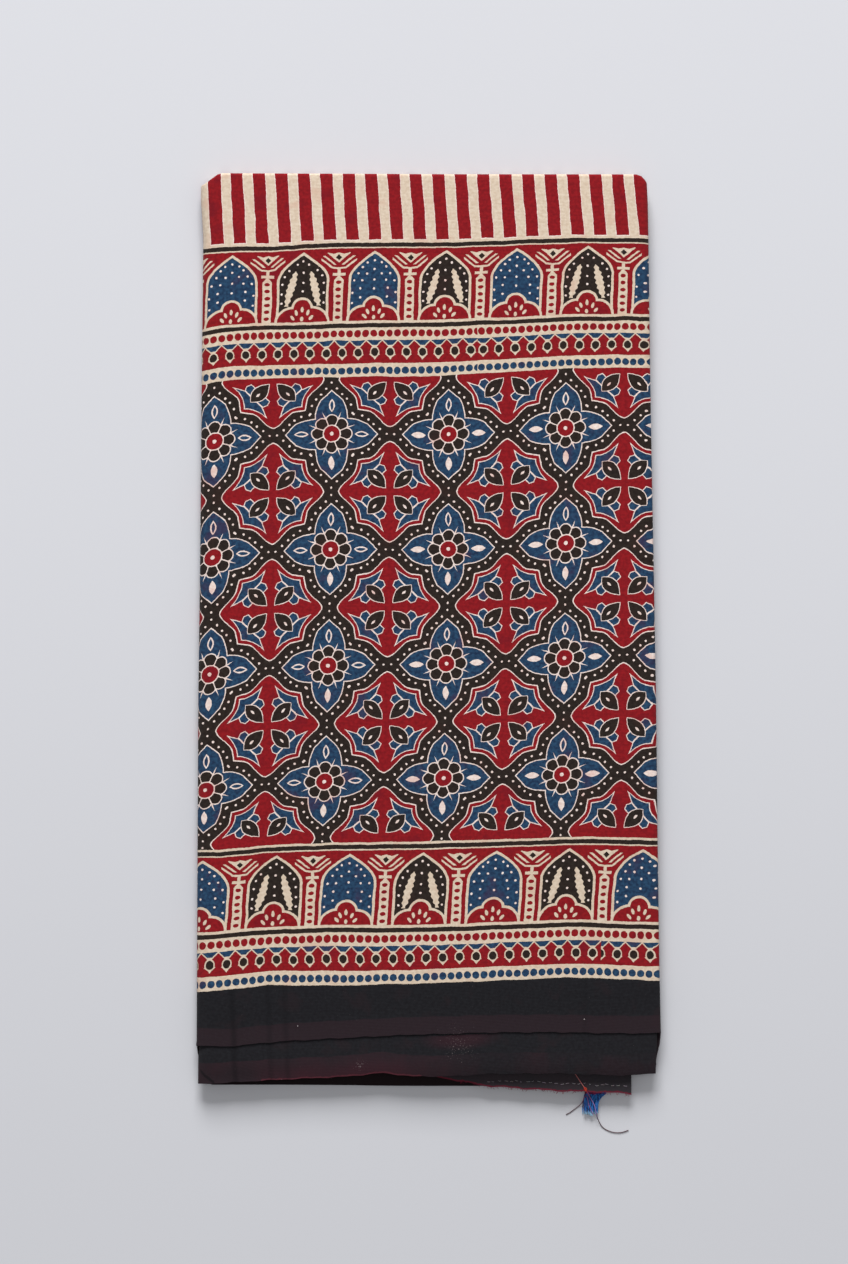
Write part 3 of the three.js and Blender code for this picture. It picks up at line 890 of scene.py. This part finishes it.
# Both borders run down from their first black line. The arches lean a little at each end, and
# the blocks of the two ends were set at slightly different places.
UPPER_BORDER = 233.4
LOWER_BORDER = -127.5
ROWS_START = 51.6
FIELD_TOP = 154.5
FIELD_END = -124.8
HEM_START = -209.8
lower_end = v < 0
down = choose(lower_end, LOWER_BORDER - v, (UPPER_BORDER - v) * 1.043)
lean = down * choose(lower_end, 0.066, 0.03) + u
arch_along = (lean - choose(lower_end, -2.3, 11.3)) * choose(lower_end, 0.9772, 1.0059)
ink = print_arches(arch_along, down, choose(lower_end, 14.8, 14.2))
new_block = (u > 30) * (v > 0) * 2.3 + (u > 104) * lower_end * 5.2
row_along = (u + new_block - choose(lower_end, -0.9, -99.5)) * choose(lower_end, 1.002, 1.037)
ink = choose(down > ROWS_START, print_rows(CREAM, row_along, down), ink)
ink = stamp(ink, print_stripes(u, down), -2.8 - down)
ink = stamp(ink, print_field(u, v), (FIELD_TOP - v).least(v - FIELD_END))

# A black line beside the stripes, on the turn of the left side, and the plain dark hem.
ink = stamp(ink, BLACK, (-139.4 - u).least(v - 237).least(263 - v))
ink = stamp(ink, HEM, HEM_START - v)

# Dye that takes unevenly, with stains where one colour has run.
thinned = soft_step(spots(cloth_place, 2, 4), 0.3, 0.7)
colour = tint(thinned, dyes_of(ink, "deep"), dyes_of(ink, "thin"))
stained = soft_step(spots(cloth_place, 15, 5), 0.55, 0.68, 0.6)
colour = tint(stained, colour, dyes_of(ink, "stained"))
grain = soft_step(spots(cloth_place, 0.9, 3), 0.62, 0.8, 0.15)
colour = tint(grain, colour, "#E8D2C0", "OVERLAY")

# The hem: a maroon turned strip before each edge, worn redder towards the left, and a crimson
# raw edge on the third run. The second strip is the end of the cloth's back half.
SECOND_STRIP = -249.5
TURNED_STRIP = 11
edge_map = tree.nodes.new("ShaderNodeUVMap")
edge_map.uv_map = "hem"
level, gap_in_metres = axes(Reading(tree, edge_map.outputs["UV"]))
gap = gap_in_metres * 1000
in_hem = ink > HEM - 0.5
second_strip = v < SECOND_STRIP
strip = soft_step(gap - second_strip * 2, TURNED_STRIP, TURNED_STRIP - 1, 0.6)
towards_right = soft_step(u, -5, 45, 0.85)
strip = strip * (1 - second_strip * towards_right)
colour = tint(strip * in_hem, colour, "#302127")
worn = soft_step(away(point((u - 19) * 0.28, v + 244), 0, 0), 8, 2, 0.4)
colour = tint(worn * (v < -241.5), colour, "#43202A")
raw = spots(cloth_place, 2, 2) * 1.6 - 0.8 + gap
rusty = soft_step(spots(cloth_place, 26, 3), 0.42, 0.62, 0.15)
towards_left = soft_step((u + 50).size(), 62, 25)
rusty = rusty + soft_step(gap, 12, 1, 0.45) * towards_left
colour = tint(rusty * second_strip * (gap < 12.5), colour, "#43202A")
reddened = soft_step(raw, 1.2, 0.4, 0.35) * second_strip * ((u + 52).size() < 48)
colour = tint(reddened, colour, "#7A3440")
third_run = (level - 1).size() < 0.5
colour = tint((level < 0.5) * in_hem * 0.8, colour, "#171010")
colour = tint(third_run * in_hem * 0.3, colour, "#4A454A")
colour = tint(soft_step(raw, 1.2, 0.6, 0.8) * third_run, colour, "#6C1E30")

# Painted shade along pressed-in creases, and powder and specks of dust on the hem.
HEM_CREASE_SHADES = [(-117, 0.45), (-95.5, 0.3), (-85.5, 0.3), (94, 0.15)]
POWDER = [(-40.5, -257.5, 6, 0.2), (18, -247, 18, 0.15)]
SPECKS = [(-78, -234.5), (94, -234.5), (-87.5, -267)]
# Painted shade: the hem darkened along each pressed-in crease.
for across_at, depth in HEM_CREASE_SHADES:
    crease = soft_step((u + v * 0.04 + 9 - across_at).size(), 3, 0.1, depth)
    colour = tint(crease * in_hem, colour, "#0F0E12")
# Painted shade along the diagonal crease of the lower left corner.
corner_crease_shade = soft_step(((u + 137) * 0.625 + (v + 258) * 0.78).size(), 1.3, 0.2, 0.7)
colour = tint(corner_crease_shade * ((u + 133).size() < 5) * in_hem, colour, "#0F0E12")
dust_place = point(u, v)
powder = spots(cloth_place, 0.8, 3)
for x_at, y_at, reach, heap in POWDER:
    powder = powder + (1 - away(dust_place, x_at, y_at) * (1 / reach)).most(0) * heap
colour = tint(soft_step(powder, 0.7, 0.84, 0.5) * in_hem, colour, "#9A8C8C")
speck = 0.32 - nearest(dust_place, SPECKS)
colour = tint((speck > 0) * in_hem, colour, "#A8A0A0")
tree.links.new(colour, shader.inputs["Base Color"])

# The plain weave, in threads just under half a millimetre apart.
WEAVE = 0.00045
weave_height = None
for direction in ("X", "Y"):
    threads = tree.nodes.new("ShaderNodeTexWave")
    threads.bands_direction = direction
    threads.inputs["Scale"].default_value = 1 / (WEAVE * 2 * math.pi * 1000)
    threads.inputs["Distortion"].default_value = 0.6
    tree.links.new(cloth_place.socket, threads.inputs["Vector"])
    height = Reading(tree, threads.outputs["Fac"])
    weave_height = height if weave_height is None else weave_height * height
bump = tree.nodes.new("ShaderNodeBump")
bump.inputs["Strength"].default_value = 0.5
bump.inputs["Distance"].default_value = WEAVE / 3
tree.links.new(weave_height.socket, bump.inputs["Height"])
tree.links.new(bump.outputs["Normal"], shader.inputs["Normal"])

cloth.data.materials.append(cotton)
bpy.ops.object.shade_smooth_by_angle(angle=math.radians(40))
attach(cloth, "root")
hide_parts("cloth")


# Tassel. A short bundle of blue cotton yarn, tied under the hem's raw edge. It spreads at its
# root and narrows to cut, paler ends.
YARN = 0.0006
YARNS_ACROSS = 11
YARNS_HIGH = 4
YARN_CURL = 0.00035
YARN_STRAY = 0.00015
END_BOW = 0.0011
YARN_ROUTE = [
    {"y": -0.2729, "left": 0.0957, "right": 0.1071, "low": 0.0005, "high": 0.0032},
    {"y": -0.2756, "left": 0.0951, "right": 0.1073, "low": 0.0004, "high": 0.0034},
    {"y": -0.2795, "left": 0.0941, "right": 0.1036, "low": 0.0004, "high": 0.0033},
    {"y": -0.2828, "left": 0.0937, "right": 0.1022, "low": 0.0003, "high": 0.0030},
    {"y": -0.2884, "left": 0.0936, "right": 0.1021, "low": 0.0003, "high": 0.0027},
]


def strands(name, routes, thickness, finish):
    """Many thin strands, each a curve through its own route, as one mesh."""
    bpy.ops.object.select_all(action="DESELECT")
    bpy.ops.curve.primitive_bezier_curve_add()
    piece = bpy.context.object
    piece.name = name
    line = piece.data
    line.splines.clear()
    line.dimensions = "3D"
    line.bevel_depth = thickness / 2
    line.bevel_resolution = 1
    line.use_fill_caps = True
    for route in routes:
        lay_route(line, route, 4)
    line.materials.append(finish)
    bpy.ops.object.convert(target="MESH")
    bpy.ops.object.shade_smooth()
    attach(piece, "root")
    return piece


def yarn_finish():
    """Bright blue yarn, uneven from strand to strand in its dye and with painted shade between the
    strands, paler at the cut ends.
    """
    finish, tree, shader = new_finish("blue_cotton_yarn", 0.8)
    shader.inputs["Sheen Weight"].default_value = 0.15
    place = tree.nodes.new("ShaderNodeTexCoord").outputs["Object"]
    streak = tree.nodes.new("ShaderNodeMapping")
    streak.inputs["Scale"].default_value = (1, 0.18, 1)
    tree.links.new(place, streak.inputs["Vector"])
    noise = tree.nodes.new("ShaderNodeTexNoise")
    noise.inputs["Scale"].default_value = 1100
    tree.links.new(streak.outputs["Vector"], noise.inputs["Vector"])
    # Dark streaks along the strands: uneven dye, and painted shade between the strands.
    streaks_of_dye_and_shade = soft_step(Reading(tree, noise.outputs["Fac"]), 0.36, 0.62)
    colour = tint(streaks_of_dye_and_shade, "#0A2C70", "#2F7BC8")
    ends = soft_step(axes(Reading(tree, place))[1], -0.2862, -0.2893, 0.85)
    colour = tint(ends, colour, "#9CC0D2")
    tree.links.new(colour, shader.inputs["Base Color"])
    twist_bump(tree, place, shader, YARN, YARN / 5)
    return finish


lay = random.Random(4)
yarn_routes = []
for high in range(YARNS_HIGH):
    for i in range(YARNS_ACROSS):
        across_share = (i + 0.25 + 0.5 * (high % 2)) / YARNS_ACROSS
        high_share = high / (YARNS_HIGH - 1)
        curl = lay.uniform(-YARN_CURL, YARN_CURL)
        route = []
        for row in YARN_ROUTE:
            route.append(
                (
                    row["left"] + (row["right"] - row["left"]) * across_share + curl,
                    row["y"],
                    row["low"] + (row["high"] - row["low"]) * high_share,
                )
            )
            curl += lay.uniform(-YARN_STRAY, YARN_STRAY)
        end_x, end_y, end_z = route[-1]
        longer = END_BOW * math.sin(math.pi * across_share) + lay.uniform(-0.0009, 0.0006)
        route[-1] = (end_x, end_y - longer, end_z)
        yarn_routes.append(route)
tassel = strands("yarn_tassel", yarn_routes, YARN, yarn_finish())
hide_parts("tassel")


# Binding and knot. The tie thread goes three times round the yarn's root, close under the hem,
# and is pulled into a small orange-red knot on the raw edge.
WRAP_TURNS = 3
WRAP_PITCH = 0.00045
WRAP_STEPS = 12
KNOT_STEPS = 40
WRAP_MIDDLE = (0.1009, -0.2763, 0.0019)
WRAP_HALF = (0.0063, 0.0019)
KNOT_PLACE = (0.0947, -0.2738, 0.0076)
KNOT_SIZE = 0.00042

wraps = []
for i in range(WRAP_TURNS * WRAP_STEPS + 1):
    turn = 2 * math.pi * i / WRAP_STEPS
    wraps.append(
        (
            WRAP_MIDDLE[0] + WRAP_HALF[0] * math.cos(turn),
            WRAP_MIDDLE[1] - WRAP_PITCH * (i / WRAP_STEPS - WRAP_TURNS / 2),
            max(THREAD / 2, WRAP_MIDDLE[2] + WRAP_HALF[1] * math.sin(turn)),
        )
    )
BINDING_DYES = [{"at": 0.094, "dye": "#7A2C52"}, {"at": 0.108, "dye": "#4A2A66"}]
binding_finish = thread_finish("binding_thread", "X", BINDING_DYES)
binding = strands("tassel_binding", [wraps], THREAD * 0.8, binding_finish)

loops = []
for i in range(KNOT_STEPS + 1):
    turn = 2 * math.pi * i / KNOT_STEPS
    reach = KNOT_SIZE * (1.35 + 0.65 * math.cos(3 * turn))
    loops.append(
        (
            KNOT_PLACE[0] + reach * math.cos(2 * turn),
            KNOT_PLACE[1] + reach * math.sin(2 * turn) * 1.3,
            KNOT_PLACE[2] + KNOT_SIZE * 0.6 * math.sin(3 * turn),
        )
    )
KNOT_DYES = [{"at": 0.0940, "dye": "#A5302C"}, {"at": 0.0955, "dye": "#BC4632"}]
knot = strands("tie_knot", [loops], THREAD, thread_finish("orange_red_thread", "X", KNOT_DYES))


# Running stitches and frayed edge. Pale thread holds the turned hem of the third run in single
# stitches, and short crimson fibres stand out of its raw edge.
STITCH = 0.00024
STITCH_PITCH = 0.0034
STITCH_INSET = 0.0046
STITCHES = 25
STITCHES_START = 0.0352
STRAIGHT_FROM = 0.059
FIBRE = 0.00016
FIBRES = 90


def on_third_run(x, inset):
    """A point on the third run's upper face, so far in from its raw edge."""
    front, back = ends_of("third", x)
    placed = settle(x, front + inset, SKIN + 2 * LAYER_STEP + SKIN + 0 * x)
    return tuple(float(value) for value in placed)


stitch_routes = []
for i in range(STITCHES):
    start = STITCHES_START + i * STITCH_PITCH + lay.uniform(-0.0007, 0.0007)
    strayed = max(0, STRAIGHT_FROM - start) * 0.06
    size = lay.uniform(0.0009, 0.0024)
    aside = lay.uniform(-0.0003, 0.0003)
    route = []
    for share, lift in ((0, -0.0002), (0.15, 0.0001), (0.5, 0.0002), (0.85, 0.0001), (1, -0.0002)):
        inset = STITCH_INSET - strayed + aside + lay.uniform(-0.0002, 0.0002)
        x, y, z = on_third_run(start + share * size, inset)
        route.append((x, y, z + lift))
    stitch_routes.append(route)
PALE_DYES = [{"at": 0.03, "dye": "#8E858C"}, {"at": 0.12, "dye": "#A9A2A6"}]
pale_finish = thread_finish("pale_stitch_thread", "X", PALE_DYES)
stitches = strands("hem_stitches", stitch_routes, STITCH, pale_finish)

fibre_routes = []
for i in range(FIBRES):
    start = lay.uniform(0.02, 0.121)
    x, y, z = on_third_run(start, 0.0004)
    aside = lay.uniform(-0.0012, 0.0012)
    out = lay.uniform(0.0008, 0.0019)
    fall = lay.uniform(0.0004, 0.0014)
    fibre_routes.append(
        [
            (x, y, z - 0.0002),
            (x + aside * 0.3, y - out * 0.6, z - 0.0001 - fall * 0.3),
            (x + aside, y - out, z - fall),
        ]
    )
CRIMSON_DYES = [{"at": 0.02, "dye": "#6E2034"}, {"at": 0.121, "dye": "#8C2038"}]
crimson_finish = thread_finish("crimson_fibre", "X", CRIMSON_DYES)
fringe = strands("frayed_edge", fibre_routes, FIBRE, crimson_finish)


# Floor and lights. A pale surface with painted light, a little lighter towards the window, a soft grey
# room, one broad window far off beyond the top fold, so that the shadow falls below the hems, and a
# weak light panel above the camera.
FLOOR_SIZE = 6
ROOM_COLOUR = (0.985, 0.985, 1.0, 1)
ROOM_LIGHT = 0.29
LIGHT_SIZE = 3
WINDOW_PLACE = (-0.3, 5.3, 3.3)
WINDOW_WATTS = 460
PANEL_PLACE = (0, 0, 7.5)
PANEL_WATTS = 68

bpy.ops.mesh.primitive_plane_add(size=FLOOR_SIZE, location=(0, 0, -0.0001))
floor = bpy.context.object
floor.name = "pale_floor"
bpy.ops.object.transform_apply(location=True)
paper, tree, shader = new_finish("pale_paper", 0.95)
place = Reading(tree, tree.nodes.new("ShaderNodeTexCoord").outputs["Object"])
# Painted light: the floor is a little lighter towards the window beyond the top fold.
painted_light_towards_window = soft_step(axes(place)[1], -0.4, 0.16)
tree.links.new(tint(painted_light_towards_window, "#D2D3D8", "#D8D9DE"), shader.inputs["Base Color"])
floor.data.materials.append(paper)

world = bpy.context.scene.world or bpy.data.worlds.new("soft_room")
bpy.context.scene.world = world
world.use_nodes = True
room = world.node_tree.nodes["Background"]
room.inputs["Color"].default_value = ROOM_COLOUR
room.inputs["Strength"].default_value = ROOM_LIGHT


def soft_light(name, place, watts):
    """A square light panel that shines straight down."""
    bpy.ops.object.light_add(type="AREA", location=place)
    light = bpy.context.object
    light.name = name
    light.data.size = LIGHT_SIZE
    light.data.energy = watts
    return light


window = soft_light("soft_window", WINDOW_PLACE, WINDOW_WATTS)
window.rotation_euler = (-window.location).to_track_quat("-Z", "Y").to_euler()
soft_light("weak_panel", PANEL_PLACE, PANEL_WATTS)
